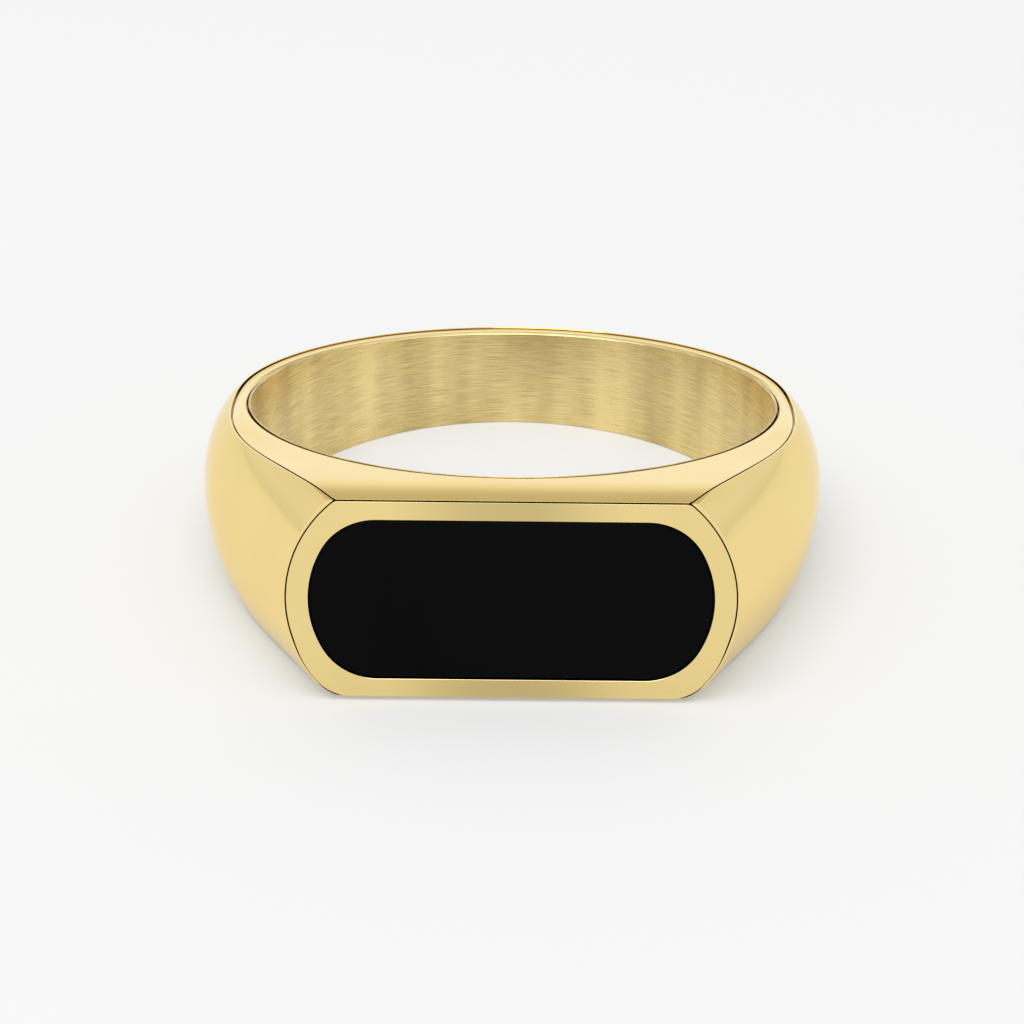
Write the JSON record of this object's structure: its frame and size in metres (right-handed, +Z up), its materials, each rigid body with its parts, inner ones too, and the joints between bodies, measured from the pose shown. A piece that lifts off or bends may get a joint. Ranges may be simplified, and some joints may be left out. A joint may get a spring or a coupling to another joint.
{
  "type": "signet ring",
  "caption": "Gold-coloured signet ring with a flat oblong face framing a black tablet, lying on its flank.",
  "frame": {"origin": "centre of the underside of the box round the ring, which lies on its lower flank on z = 0", "axes": "+Z up, +Y from the face to the back of the ring, +X along the length of the face; the ring leans back 4.8 degrees about X because its flanks taper"},
  "size_m": [0.0234, 0.0246, 0.0075],
  "materials": {
    "polished_gold": "mirror polished, gold-coloured plating",
    "brushed_gold": "fine brushing that runs round the finger hole",
    "face_gold": "polished flat, faintly lapped",
    "seat_gold": "unpolished",
    "adhesive": "cured adhesive",
    "onyx": "polished black"
  },
  "bodies": {
    "root": {"inner_sleeve": "brushed_gold", "outer_band": "polished_gold", "upper_rail": "polished_gold", "lower_rail": "polished_gold", "face_frame": "face_gold", "stone_seat": "seat_gold", "adhesive_bed": "adhesive", "onyx_tablet": "onyx"}
  },
  "joints": []
}
